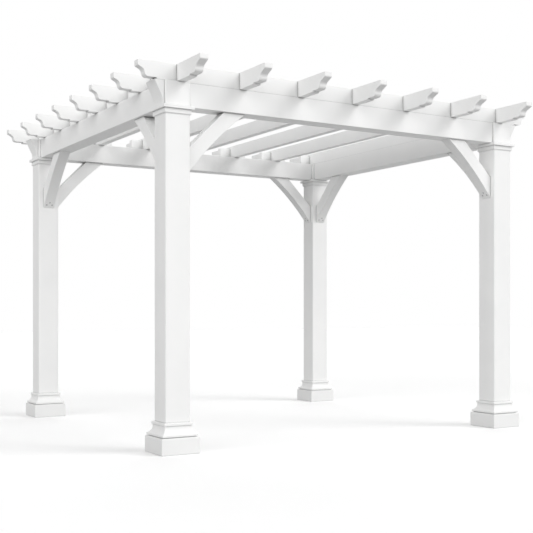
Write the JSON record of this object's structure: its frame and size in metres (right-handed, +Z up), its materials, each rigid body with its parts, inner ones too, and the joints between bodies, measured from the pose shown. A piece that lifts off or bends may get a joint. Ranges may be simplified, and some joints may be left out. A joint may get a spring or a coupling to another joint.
{
  "type": "garden pergola",
  "caption": "Free-standing square garden pergola in white vinyl: boxed posts on moulded plinths, beams with curved knee braces, and ogee-tailed rafters.",
  "frame": {"origin": "centre of the pergola on the ground, under the middle of its roof", "axes": "+X to the right along the front, +Y to the back, +Z up"},
  "size_m": [3.192, 3.2, 2.374],
  "materials": {
    "post_vinyl": "satin",
    "trim_vinyl": "satin",
    "beam_vinyl": "satin",
    "brace_vinyl": "satin",
    "rafter_vinyl": "satin"
  },
  "bodies": {
    "root": {"post_front_left": "post_vinyl", "plinth_front_left": "trim_vinyl", "base_moulding_front_left": "trim_vinyl", "collar_front_left": "trim_vinyl", "beam_end_front_left": "beam_vinyl", "brace_front_left_x": "brace_vinyl", "brace_front_left_y": "brace_vinyl", "post_front_right": "post_vinyl", "plinth_front_right": "trim_vinyl", "base_moulding_front_right": "trim_vinyl", "collar_front_right": "trim_vinyl", "beam_end_front_right": "beam_vinyl", "brace_front_right_x": "brace_vinyl", "brace_front_right_y": "brace_vinyl", "post_back_left": "post_vinyl", "plinth_back_left": "trim_vinyl", "base_moulding_back_left": "trim_vinyl", "collar_back_left": "trim_vinyl", "beam_end_back_left": "beam_vinyl", "brace_back_left_x": "brace_vinyl", "brace_back_left_y": "brace_vinyl", "post_back_right": "post_vinyl", "plinth_back_right": "trim_vinyl", "base_moulding_back_right": "trim_vinyl", "collar_back_right": "trim_vinyl", "beam_end_back_right": "beam_vinyl", "brace_back_right_x": "brace_vinyl", "brace_back_right_y": "brace_vinyl", "beam_front": "beam_vinyl", "beam_back": "beam_vinyl", "beam_left": "beam_vinyl", "beam_right": "beam_vinyl", "rafter_1": "rafter_vinyl", "rafter_2": "rafter_vinyl", "rafter_3": "rafter_vinyl", "rafter_4": "rafter_vinyl", "rafter_5": "rafter_vinyl", "rafter_6": "rafter_vinyl", "rafter_7": "rafter_vinyl", "front_cross_board": "rafter_vinyl", "cross_tails_left": "rafter_vinyl", "cross_tails_right": "rafter_vinyl", "spacer_blocks": "rafter_vinyl"}
  },
  "joints": []
}
